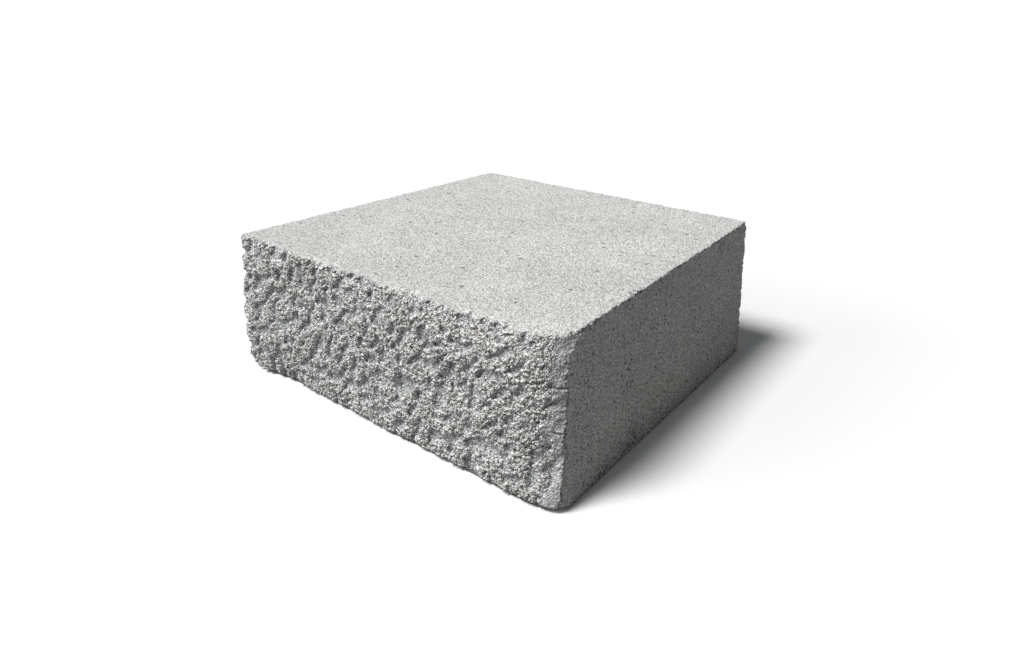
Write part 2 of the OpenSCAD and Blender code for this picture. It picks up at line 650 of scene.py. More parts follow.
def box_skin(count: tuple[int, int, int]) -> tuple[np.ndarray, np.ndarray]:
    """Builds the skin of a box of cells, with each grid point once.

    Args:
        count: Number of cells along x, y and z.

    Returns:
        The whole-number place of each point, and the quads, which look outward.
    """
    weights = np.array([1, count[0] + 1, (count[0] + 1) * (count[1] + 1)])
    quads = []
    for face in Face:
        axis, way = face.value
        a, b = (axis + 1) % 3, (axis + 2) % 3
        along_a, along_b = np.meshgrid(np.arange(count[a] + 1), np.arange(count[b] + 1), indexing="ij")
        key = along_a * weights[a] + along_b * weights[b]
        if way > 0:
            key += count[axis] * weights[axis]
        ring = [key[:-1, :-1], key[1:, :-1], key[1:, 1:], key[:-1, 1:]]
        quads.append(np.stack(ring[::way], axis=-1).reshape(-1, 4))
    keys, faces = np.unique(np.concatenate(quads), return_inverse=True)
    places = np.stack([keys % weights[1], keys // weights[1] % (count[1] + 1), keys // weights[2]], axis=-1)
    return places, faces.reshape(-1, 4)


def new_mesh(name: str, points: np.ndarray, faces: np.ndarray) -> bpy.types.Mesh:
    """Makes a mesh from arrays.

    Args:
        name: Name of the mesh.
        points: One row for each vertex.
        faces: One row of vertex numbers for each face.

    Returns:
        The mesh.
    """
    mesh = bpy.data.meshes.new(name)
    mesh.vertices.add(len(points))
    mesh.vertices.foreach_set("co", points.ravel())
    mesh.loops.add(faces.size)
    mesh.loops.foreach_set("vertex_index", faces.ravel().astype(np.int32))
    mesh.polygons.add(len(faces))
    mesh.polygons.foreach_set("loop_start", np.arange(0, faces.size, faces.shape[1], dtype=np.int32))
    mesh.update(calc_edges=True)
    return mesh


@dataclass
class WallBlock:
    """The whole block as one closed skin, from the grid of a box to its finishes.

    Attributes:
        noise: Where the random numbers come from.
        pits: The pits of each moulded face that has some: their sheet and their depth on it.
        front: The y of the split in front of each grid point.
    """

    solid: Solid
    split: SplitFace
    seed: int = 23

    # The grid of the skin, and how many triangles are kept of it
    step: tuple[float, float, float] = (0.65 * MM, 1.2 * MM, 0.65 * MM)
    rim: float = 3 * MM
    rim_step: float = 0.4 * MM
    triangles: int = 196_000

    # Moulded arrises, with their nicks. The wear is read on a slant, so that it runs along each arris.
    arris: float = 0.8 * MM
    arris_wear: float = 0.5 * MM
    arris_pitch: float = 9 * MM
    least_arris: float = 0.3 * MM
    nick: float = 3.0 * MM
    nick_pitch: float = 4.4 * MM
    nick_radius: float = 0.55
    nick_edge: Band = (0.35, 0.8)
    slant: Band = (0.37, 0.61)

    # Arrises round the split, and the chip at the foot of its right corner
    split_arris: float = 0.5 * MM
    split_arris_pitch: float = 4 * MM
    split_arris_reach: float = 8 * MM
    corner_chip: float = 8 * MM
    corner_chip_reach: float = 16 * MM

    # Ragged fringe of the moulded faces along the split
    fringe_reach: float = 6 * MM
    fringe_depth: float = 1.1 * MM
    fringe_pitch: float = 5 * MM

    # Crumbs lost from the arrises, deeper near the split and near the rear
    crumb_pitch: float = 2.8 * MM
    crumb_radius: float = 0.62
    crumb_depth: float = 1.4 * MM
    crumb_reach: float = 4.5 * MM
    crumb_patch_pitch: float = 14 * MM
    crumb_patch_edge: Band = (-0.3, 0.3)
    end_crumbs: float = 0.9
    front_crumb_reach: float = 110 * MM
    rear_crumb_reach: float = 30 * MM

    # Unevenness and pits of the moulded faces
    unevenness: float = 0.15 * MM
    unevenness_pitch: float = 55 * MM
    unevenness_reach: float = 10 * MM
    top_pits: Pits = Pits(125, 0.7 * MM, 2.3 * MM, 1.1, 5 * MM)
    side_pits: Pits = Pits(90, 0.6 * MM, 1.7 * MM, 1.1, 4 * MM)
    pit_sheet_pitch: float = 0.5 * MM

    # How far below a face its marks are felt
    give: float = 5 * MM

    # Gaps below the second nearest face, and above the bed, over which a mask falls off
    edge_mask: Band = (3.2 * MM, 0.6 * MM)
    # Band above the bed for the painted shade along the foot of the split.
    foot_shade_mask: Band = (4.8 * MM, 3.4 * MM)
    face_reach: float = 3 * MM

    # Space between the faces in the texture square
    chart_gap: float = 8 * MM

    noise: Noise = field(init=False)
    pits: dict[Face, tuple[Sheet, np.ndarray]] = field(init=False)
    front: np.ndarray = field(init=False)

    def __post_init__(self) -> None:
        """Scatters the pits of the moulded faces."""
        low, high = self.solid.low, self.solid.high
        self.noise = Noise(self.seed)
        level = Sheet(low.x, high.x, low.y, high.y, self.pit_sheet_pitch)
        upright = Sheet(low.y, high.y, low.z, high.z, self.pit_sheet_pitch)
        back = Sheet(low.x, high.x, low.z, high.z, self.pit_sheet_pitch)
        plan = {
            Face.TOP: (level, self.top_pits),
            Face.RIGHT: (upright, self.side_pits),
            Face.LEFT: (upright, self.side_pits),
            Face.REAR: (back, self.side_pits),
        }
        self.pits = {face: (sheet, pits.press(sheet, self.noise)) for face, (sheet, pits) in plan.items()}

    def place(self, cells: np.ndarray, lines: tuple[np.ndarray, ...]) -> np.ndarray:
        """Moves the grid points of the box onto the block.

        Args:
            cells: Whole-number place of each point.
            lines: Place of each grid line along x, y and z.

        Returns:
            The points, with sharp arrises.
        """
        solid, split = self.solid, self.split
        share_x = lines[0][cells[:, 0]] / lines[0][-1] * 2 - 1
        share_y = lines[1][cells[:, 1]] / lines[1][-1]
        z = solid.low.z + lines[2][cells[:, 2]]
        self.front = np.full(len(cells), float(solid.low.y))
        for _ in range(3):
            self.front = split.at(split.y, share_x * solid.half_width(self.front), z)
        y = self.front + share_y * (solid.high.y - self.front)
        x = share_x * solid.half_width(y)
        return np.stack([x, y, z], axis=-1)

    def wear(self, points: np.ndarray) -> np.ndarray:
        """Rounds the arrises by an uneven radius, larger on moulded ones than round the split.

        Args:
            points: The points with sharp arrises.

        Returns:
            The points with worn arrises.
        """
        solid, noise = self.solid, self.noise
        x, y, z = points.T
        along_u, along_v = x + self.slant[0] * y, z + self.slant[1] * y
        uneven = noise.fractal(along_u, along_v, self.arris_pitch, 3)
        nicks = smoothstep(*self.nick_edge, noise.domes(along_u, along_v, self.nick_pitch, self.nick_radius))
        moulded = self.arris + self.arris_wear * uneven + self.nick * nicks
        broken = self.split_arris * (1 + 0.5 * noise.smooth(along_u, along_v, self.split_arris_pitch))
        share = smoothstep(0, self.split_arris_reach, y - self.front)
        radius = np.maximum(broken + (moulded - broken) * share, self.least_arris)
        half = solid.half_width(y)
        from_corner = np.sqrt((half - x) ** 2 + (y - self.front) ** 2 + (z - solid.low.z) ** 2)
        radius += self.corner_chip * smoothstep(self.corner_chip_reach, 0, from_corner)
        inner = np.stack(
            [
                np.clip(x, radius - half, half - radius),
                np.clip(y, self.front + radius, solid.high.y - radius),
                np.clip(z, solid.low.z + radius, solid.high.z - radius),
            ],
            axis=-1,
        )
        reach = points - inner
        length = np.linalg.norm(reach, axis=-1)
        over = np.minimum(radius / np.maximum(length, TINY), 1)
        return inner + reach * over[:, None]

    def mark(self, points: np.ndarray) -> np.ndarray:
        """Presses the pits, the unevenness, the fringe and the crumbs into the moulded faces.

        Each mark also draws along what lies just below its face, so that the skin keeps from folding.

        Args:
            points: The worn points.

        Returns:
            The finished points.
        """
        solid, noise = self.solid, self.noise
        x, y, z = points.T
        back = y - self.front
        fringe = self.fringe_depth * smoothstep(self.fringe_reach, 0, back)
        fringe *= 0.5 + 0.5 * noise.fractal(x + z, y, self.fringe_pitch, 3)
        settle = smoothstep(0, self.unevenness_reach, back) * self.unevenness
        half = solid.half_width(y)
        across = half - np.abs(x)
        along = np.minimum(back, solid.high.y - y)
        up = np.minimum(solid.high.z - z, z - solid.low.z)
        marks = {
            Face.TOP: (solid.high.z - z, np.minimum(across, along)),
            Face.RIGHT: (half - x, np.minimum(along, up)),
            Face.LEFT: (half + x, np.minimum(along, up)),
            Face.REAR: (solid.high.y - y, np.minimum(across, up)),
        }
        near_split = smoothstep(self.front_crumb_reach, 0, back)
        near_rear = smoothstep(self.rear_crumb_reach, 0, solid.high.y - y)
        crumb_depth = self.crumb_depth * (1 + self.end_crumbs * np.maximum(near_split, near_rear))
        moved = points.copy()
        for face, (below, from_arris) in marks.items():
            axis, way = face.value
            flat = points[:, face.flat].T
            sheet, depth = self.pits[face]
            sunk = sheet.read(depth, *flat) + settle * (1 + noise.smooth(*flat, self.unevenness_pitch)) / 2
            if face is not Face.REAR:
                sunk = sunk + fringe
            patches = smoothstep(*self.crumb_patch_edge, noise.fractal(*flat, self.crumb_patch_pitch, 2))
            crumbs = noise.domes(*flat, self.crumb_pitch, self.crumb_radius) * patches
            sunk = sunk + crumb_depth * crumbs * smoothstep(self.crumb_reach, 0, from_arris)
            moved[:, axis] -= way * sunk * smoothstep(self.give, 0, below)
        return moved

    def build(self) -> bpy.types.Object:
        """Builds the dense skin and thins it where it is flat.

        Returns:
            The object, with no finish yet.
        """
        solid = self.solid
        spans = (2 * solid.half_width(solid.low.y), solid.high.y - solid.low.y, solid.height)
        lines = tuple(graded(span, step, self.rim, self.rim_step) for span, step in zip(spans, self.step))
        last = tuple(len(line) - 1 for line in lines)
        cells, faces = box_skin(last)
        points = self.mark(self.wear(self.place(cells, lines)))
        points = np.clip(points, np.array(solid.low), np.array(solid.high))
        dense = bpy.data.objects.new(NODE + "_dense", new_mesh(NODE + "_dense", points / MM, faces))
        bpy.context.scene.collection.objects.link(dense)
        thin = dense.modifiers.new("thin", "DECIMATE")
        thin.ratio = self.triangles / (2 * len(faces))
        thin.use_collapse_triangulate = True
        bpy.context.view_layer.update()
        thinned = dense.evaluated_get(bpy.context.evaluated_depsgraph_get())
        shape = bpy.data.meshes.new_from_object(thinned)
        bpy.data.objects.remove(dense)
        shape.name = "block_skin"
        shape.transform(Matrix.Scale(MM, 4))
        kept = np.clip(self.vertices(shape), np.array(solid.low), np.array(solid.high))
        shape.vertices.foreach_set("co", kept.astype(np.float32).ravel())
        block = bpy.data.objects.new("block_skin", shape)
        bpy.context.scene.collection.objects.link(block)
        return block

    @staticmethod
    def vertices(mesh: bpy.types.Mesh) -> np.ndarray:
        """Reads the vertices of a mesh.

        Args:
            mesh: The mesh.

        Returns:
            One row for each vertex.
        """
        places = np.empty(len(mesh.vertices) * 3, np.float32)
        mesh.vertices.foreach_get("co", places)
        return places.reshape(-1, 3)

    def dress(self, block: bpy.types.Object, finishes: dict[Face, bpy.types.Material]) -> None:
        """Gives the skin its normals, masks, chart layout and finishes.

        Args:
            block: The built object.
            finishes: The material of each face.
        """
        mesh = block.data
        points = self.vertices(mesh).astype(float)
        faces = np.empty(len(mesh.loops), np.int32)
        mesh.loops.foreach_get("vertex_index", faces)
        faces = faces.reshape(-1, 3)
        middles = points[faces].mean(axis=1)
        edges = np.diff(points[faces], axis=1)
        areas = np.cross(edges[:, 0], edges[:, 1])
        normals = areas / np.maximum(np.linalg.norm(areas, axis=1, keepdims=True), TINY)
        owner = self.owners(middles, normals)
        self.smooth(mesh, points, faces, areas)
        self.mask(mesh, points)
        self.chart(mesh, points[faces], owner)
        used = list(dict.fromkeys(finishes.values()))
        for material in used:
            mesh.materials.append(material)
        slots = np.array([used.index(finishes[face]) for face in Face], np.int32)
        mesh.polygons.foreach_set("material_index", slots[owner])
        mesh.update()

    def gaps(self, points: np.ndarray) -> np.ndarray:
        """Measures how far points lie below each face.

        Args:
            points: The points.

        Returns:
            One row for each face, in the order of Face.
        """
        solid, split = self.solid, self.split
        x, y, z = points.T
        half = solid.half_width(y)
        front = split.at(split.y, x, z)
        gaps = [y - front, solid.high.y - y, x + half, half - x, solid.high.z - z, z - solid.low.z]
        return np.stack(gaps)

    def owners(self, middles: np.ndarray, normals: np.ndarray) -> np.ndarray:
        """Says which face of the block each triangle belongs to.

        Args:
            middles: Middle of each triangle.
            normals: Unit normal of each triangle.

        Returns:
            Place in Face of the owner of each triangle.
        """
        outward = np.stack([way * normals[:, axis] for axis, way in (face.value for face in Face)])
        return np.argmax(outward - np.abs(self.gaps(middles)) / self.face_reach, axis=0)

    @staticmethod
    def smooth(mesh: bpy.types.Mesh, points: np.ndarray, faces: np.ndarray, areas: np.ndarray) -> None:
        """Shades the skin smooth, with each normal led by its largest triangles, so that flats stay flat.

        Args:
            mesh: The skin.
            points: Its vertices.
            faces: The vertex numbers of each triangle.
            areas: Normal of each triangle, as long as twice its area.
        """
        normals = np.zeros(points.shape)
        for corner in range(3):
            np.add.at(normals, faces[:, corner], areas)
        normals /= np.maximum(np.linalg.norm(normals, axis=1, keepdims=True), TINY)
        mesh.shade_smooth()
        mesh.normals_split_custom_set_from_vertices(normals.astype(np.float32))

    def mask(self, mesh: bpy.types.Mesh, points: np.ndarray) -> None:
        """Stores the masks that the finishes read.

        Args:
            mesh: The skin.
            points: Its vertices.
        """
        split = self.split
        x, _, z = points.T
        all_gaps = self.gaps(points)
        gaps = dict(zip(Face, all_gaps))
        pit = np.zeros(len(points))
        for face, (sheet, depth) in self.pits.items():
            across, up = face.flat
            pressed = sheet.read(depth, points[:, across], points[:, up]) / MM
            pit = np.maximum(pit, np.where(gaps[face] < self.face_reach, pressed, 0))
        masks = {
            "hollow": split.at(split.hollow, x, z),
            "cavity": split.at(split.cavity, x, z),
            "calm": split.at(split.calm, x, z),
            "edge": smoothstep(*self.edge_mask, np.sort(all_gaps, axis=0)[1]),
            "pit": pit,
            "foot_shade": smoothstep(*self.foot_shade_mask, gaps[Face.BED]),
        }
        for name, values in masks.items():
            layer = mesh.attributes.new(name, "FLOAT", "POINT")
            layer.data.foreach_set("value", values.astype(np.float32))

    def chart(self, mesh: bpy.types.Mesh, corners: np.ndarray, owner: np.ndarray) -> None:
        """Lays each face of the block flat in its own part of the texture square.

        Args:
            mesh: The skin.
            corners: The three corners of each triangle.
            owner: Place in Face of the owner of each triangle.
        """
        solid = self.solid
        gap = self.chart_gap
        width, depth, height = solid.high - solid.low
        side = 2 * width + 3 * gap
        column = width + 2 * gap
        starts = {
            Face.TOP: (gap, gap),
            Face.BED: (gap, depth + 2 * gap),
            Face.FRONT: (column, gap),
            Face.REAR: (column, height + 2 * gap),
            Face.LEFT: (column, 2 * height + 3 * gap),
            Face.RIGHT: (column, 3 * height + 4 * gap),
        }
        flat = np.empty(corners.shape[:2] + (2,))
        for number, face in enumerate(Face):
            axis, way = face.value
            across, up = face.flat
            mine = corners[owner == number]
            u = mine[..., across] - solid.low[across]
            if (way > 0) == (axis == 1):
                u = solid.high[across] - solid.low[across] - u
            v = mine[..., up] - solid.low[up]
            start = starts[face]
            flat[owner == number] = np.stack([start[0] + u, start[1] + v], axis=-1) / side
        layer = mesh.uv_layers.new(name="OFBake")
        layer.uv.foreach_set("vector", flat.ravel().astype(np.float32))


# ---------------------------------------------------------------------------------------------
# Finishes
# ---------------------------------------------------------------------------------------------

Colour = tuple[float, float, float, float]
Feed = bpy.types.NodeSocket | float | tuple


class Graph:
    """Adds nodes to one node tree and links them as it goes.

    Attributes:
        MIX_COLOURS: Places of a Mix node's two colours among its inputs.
        MIXED_COLOUR: Place of the mixed colour among its outputs.
    """

    MIX_COLOURS = (6, 7)
    MIXED_COLOUR = 2

    def __init__(self, tree: bpy.types.NodeTree) -> None:
        """Takes the tree to add to."""
        self.tree = tree

    def add(self, kind: str, **settings: object) -> bpy.types.Node:
        """Adds a node.

        Args:
            kind: The node's type.
            settings: Its options.

        Returns:
            The node.
        """
        node = self.tree.nodes.new(kind)
        for name, value in settings.items():
            setattr(node, name, value)
        return node

    def feed(self, target: bpy.types.NodeSocket, value: Feed) -> None:
        """Links a socket to another, or sets its value.

        Args:
            target: The input.
            value: The output that feeds it, or its value.
        """
        if isinstance(value, bpy.types.NodeSocket):
            self.tree.links.new(value, target)
        else:
            target.default_value = value

    def math(self, operation: str, *values: Feed, clamp: bool = False) -> bpy.types.NodeSocket:
        """Adds a Math node.

        Args:
            operation: What it does.
            values: What it takes.
            clamp: Whether the result is held between 0 and 1.

        Returns:
            The result.
        """
        node = self.add("ShaderNodeMath", operation=operation, use_clamp=clamp)
        for socket, value in zip(node.inputs, values):
            self.feed(socket, value)
        return node.outputs[0]

    def product(self, first: Feed, *others: Feed) -> bpy.types.NodeSocket:
        """Multiplies values.

        Args:
            first: The first value.
            others: The others.

        Returns:
            Their product.
        """
        for other in others:
            first = self.math("MULTIPLY", first, other)
        return first

    def total(self, *parts: tuple[Feed, float]) -> bpy.types.NodeSocket:
        """Adds up weighted values.

        Args:
            parts: Each value with its weight.

        Returns:
            The sum.
        """
        result = 0.0
        for value, weight in parts:
            result = self.math("MULTIPLY_ADD", value, weight, result)
        return result

    def line(self, value: Feed, start: float, end: float) -> bpy.types.NodeSocket:
        """Maps a value from 0 to 1 onto a range, in a straight line."""
        return self.math("MULTIPLY_ADD", value, end - start, start)

    def sway(self, value: Feed, contrast: float) -> bpy.types.NodeSocket:
        """Maps a value from 0 to 1 onto a range about 1."""
        return self.line(value, 1 - contrast, 1 + contrast)

    def span(
        self, value: Feed, low: float, high: float, start: float = 0.0, end: float = 1.0
    ) -> bpy.types.NodeSocket:
        """Maps a value smoothly from one range to another.

        Args:
            value: What is mapped.
            low: Value that gives the start.
            high: Value that gives the end. It may be the lower of the two.
            start: Result at low and beyond it.
            end: Result at high and beyond it.

        Returns:
            The result.
        """
        node = self.add("ShaderNodeMapRange", interpolation_type="SMOOTHSTEP")
        for socket, number in zip(node.inputs, (value, low, high, start, end)):
            self.feed(socket, number)
        return node.outputs[0]

    def mix(self, share: Feed, a: Feed, b: Feed, blend: str = "MIX") -> bpy.types.NodeSocket:
        """Mixes two colours.

        Args:
            share: Share of the second, from 0 to 1.
            a: The first.
            b: The second.
            blend: How the second goes over the first.

        Returns:
            The mix.
        """
        node = self.add("ShaderNodeMix", data_type="RGBA", blend_type=blend, clamp_result=True)
        self.feed(node.inputs[0], share)
        for number, colour in zip(self.MIX_COLOURS, (a, b)):
            self.feed(node.inputs[number], colour)
        return node.outputs[self.MIXED_COLOUR]

    def noise(self, vector: Feed, pitch: Feed, detail: float, rough: float = 0.5) -> bpy.types.NodeSocket:
        """Adds a Noise Texture.

        Args:
            vector: Where it is read.
            pitch: Distance over which it turns over once.
            detail: How many finer octaves it has.
            rough: Strength of each octave, as a share of the one before.

        Returns:
            Its value, from 0 to 1.
        """
        node = self.add("ShaderNodeTexNoise", noise_dimensions="3D")
        self.feed(node.inputs["Vector"], vector)
        self.feed(node.inputs["Scale"], self.math("DIVIDE", 1.0, pitch))
        node.inputs["Detail"].default_value = detail
        node.inputs["Roughness"].default_value = rough
        return node.outputs["Fac"]

    def cells(self, vector: Feed, pitch: Feed) -> tuple[bpy.types.NodeSocket, bpy.types.NodeOutputs]:
        """Adds a Voronoi Texture.

        Args:
            vector: Where it is read.
            pitch: Mean distance between cells.

        Returns:
            Distance from the middle of the cell, and three random numbers for each cell.
        """
        node = self.add("ShaderNodeTexVoronoi")
        self.feed(node.inputs["Vector"], vector)
        self.feed(node.inputs["Scale"], self.math("DIVIDE", 1.0, pitch))
        split = self.add("ShaderNodeSeparateColor")
        self.feed(split.inputs[0], node.outputs["Color"])
        return node.outputs["Distance"], split.outputs

    def read(self, name: str) -> bpy.types.NodeSocket:
        """Reads one of the masks stored on the skin."""
        node = self.add("ShaderNodeAttribute", attribute_type="GEOMETRY", attribute_name=name)
        return node.outputs["Fac"]

    def chips(self, place: Feed, band: Band) -> bpy.types.NodeSocket:
        """Maps where the chips along the arrises get painted shade: the fewer, the higher the band of the
        noise.
        """
        ragged = self.span(self.noise(place, CHIP_PITCH, 3.0), *band)
        return self.product(self.read("edge"), ragged)


class Skin:
    """A material in the making: its graph, its surface and the place that its patterns read."""

    def __init__(self, name: str) -> None:
        """Makes an empty material.

        Args:
            name: Name of the material.
        """
        self.material = bpy.data.materials.new(name)
        self.material.use_nodes = True
        self.graph = Graph(self.material.node_tree)
        self.surface = self.material.node_tree.nodes["Principled BSDF"]
        self.place = self.graph.add("ShaderNodeTexCoord").outputs["Object"]

    def finish(self, colour: Feed, roughness: Feed, specular: float) -> bpy.types.Material:
        """Feeds the surface.

        Args:
            colour: Base colour.
            roughness: Roughness.
            specular: Strength of the plain reflection.

        Returns:
            The material.
        """
        self.graph.feed(self.surface.inputs["Base Color"], colour)
        self.graph.feed(self.surface.inputs["Roughness"], roughness)
        self.surface.inputs["Specular IOR Level"].default_value = specular
        return self.material

    def bump(self, height: bpy.types.NodeSocket) -> None:
        """Raises the surface in a bump.

        Args:
            height: Height of each point, in millimetres.
        """
        bump = self.graph.add("ShaderNodeBump")
        bump.inputs["Strength"].default_value = 1.0
        bump.inputs["Distance"].default_value = MM
        self.graph.feed(bump.inputs["Height"], height)
        self.graph.feed(self.surface.inputs["Normal"], bump.outputs["Normal"])


class Group:
    """A shader node group with named inputs and outputs."""

    def __init__(self, name: str, inputs: dict[str, float], outputs: tuple[str, ...]) -> None:
        """Makes the group and its sockets.

        Args:
            name: Name of the group.
            inputs: Name and standard value of each number that it takes, after its Vector.
            outputs: Name of each number that it gives.
        """
        self.tree = bpy.data.node_groups.new(name, "ShaderNodeTree")
        self.tree.interface.new_socket("Vector", in_out="INPUT", socket_type="NodeSocketVector")
        for label, value in inputs.items():
            socket = self.tree.interface.new_socket(label, in_out="INPUT", socket_type="NodeSocketFloat")
            socket.default_value = value
        for label in outputs:
            self.tree.interface.new_socket(label, in_out="OUTPUT", socket_type="NodeSocketFloat")
        self.graph = Graph(self.tree)
        self.inputs = self.graph.add("NodeGroupInput").outputs
        self.outputs = self.graph.add("NodeGroupOutput").inputs

    def place(self, graph: Graph, vector: Feed, **values: float) -> bpy.types.NodeOutputs:
        """Places the group in a material.

        Args:
            graph: The material's graph.
            vector: Where the pattern is read.
            values: Value of each input.

        Returns:
            The outputs of the placed group.
        """
        node = graph.add("ShaderNodeGroup", node_tree=self.tree)
        graph.feed(node.inputs["Vector"], vector)
        for label, value in values.items():
            graph.feed(node.inputs[label], value)
        return node.outputs


def make_sand(wobbles: float = 0.7, dome: Band = (0.75, 0.1)) -> Group:
    """Makes the group for sand grains.

    Args:
        wobbles: Number of wobbles over one grain's pitch in the push that warps the grains.
        dome: Distance from its middle at which a grain starts to rise and is at its full height.

    Returns:
        The group. It gives a random tone and a rounded height for each grain.
    """
    group = Group("sand", {"Pitch": 1.5 * MM, "Warp": 0.4}, ("Tone", "Height"))
    graph = group.graph
    wobble = graph.add("ShaderNodeTexNoise")
    graph.feed(wobble.inputs["Vector"], group.inputs["Vector"])
    graph.feed(wobble.inputs["Scale"], graph.math("DIVIDE", wobbles, group.inputs["Pitch"]))
    push = graph.add("ShaderNodeVectorMath", operation="SCALE")
    graph.feed(push.inputs[0], wobble.outputs["Color"])
    graph.feed(push.inputs["Scale"], graph.product(group.inputs["Pitch"], group.inputs["Warp"]))
    bent = graph.add("ShaderNodeVectorMath", operation="ADD")
    graph.feed(bent.inputs[0], group.inputs["Vector"])
    graph.feed(bent.inputs[1], push.outputs[0])
    away, chance = graph.cells(bent.outputs[0], group.inputs["Pitch"])
    graph.feed(group.outputs["Tone"], chance[0])
    graph.feed(group.outputs["Height"], graph.span(away, *dome))
    return group


def make_blotches(band: Band = (0.3, 0.7), rough: float = 0.55) -> Group:
    """Makes the group for cloudy tone.

    Args:
        band: Values of the noise that give 0 and 1.
        rough: Strength of each octave, as a share of the one before.

    Returns:
        The group. It gives a wide and a narrow cloud, each from 0 to 1.
    """
    group = Group("blotches", {"Wide": 50 * MM, "Narrow": 9 * MM}, ("Wide", "Narrow"))
    graph = group.graph
    for label, detail in (("Wide", 3.0), ("Narrow", 4.0)):
        cloud = graph.noise(group.inputs["Vector"], group.inputs[label], detail, rough)
        graph.feed(group.outputs[label], graph.span(cloud, *band))
    return group


def make_pinholes(least: float = 0.4, ragged_pitch: float = 0.8 * MM, ragged: float = 0.04) -> Group:
    """Makes the group for pinholes.

    Args:
        least: Radius of the smallest hole, as a share of the group's own.
        ragged_pitch: Pitch of the noise in the rims.
        ragged: How far that noise moves the rims, as a share of the holes' pitch.

    Returns:
        The group. It gives 1 inside each hole and 0 outside.
    """
    group = Group("pinholes", {"Pitch": 7 * MM, "Share": 0.5, "Radius": 0.1}, ("Hole",))
    graph = group.graph
    away, chance = graph.cells(group.inputs["Vector"], group.inputs["Pitch"])
    kept = graph.math("LESS_THAN", chance[0], group.inputs["Share"])
    radius = graph.product(group.inputs["Radius"], graph.math("ADD", chance[1], least))
    rim = graph.noise(group.inputs["Vector"], ragged_pitch, 1.0)
    away = graph.math("MULTIPLY_ADD", rim, ragged, away)
    depth = graph.math("SUBTRACT", 1.0, graph.math("DIVIDE", away, radius), clamp=True)
    graph.feed(group.outputs["Hole"], graph.product(kept, graph.span(depth, 0.0, 0.5)))
    return group


class Patterns:
    """The node groups that the finishes share."""

    def __init__(self) -> None:
        """Makes the groups."""
        self.sand = make_sand()
        self.blotches = make_blotches()
        self.pinholes = make_pinholes()


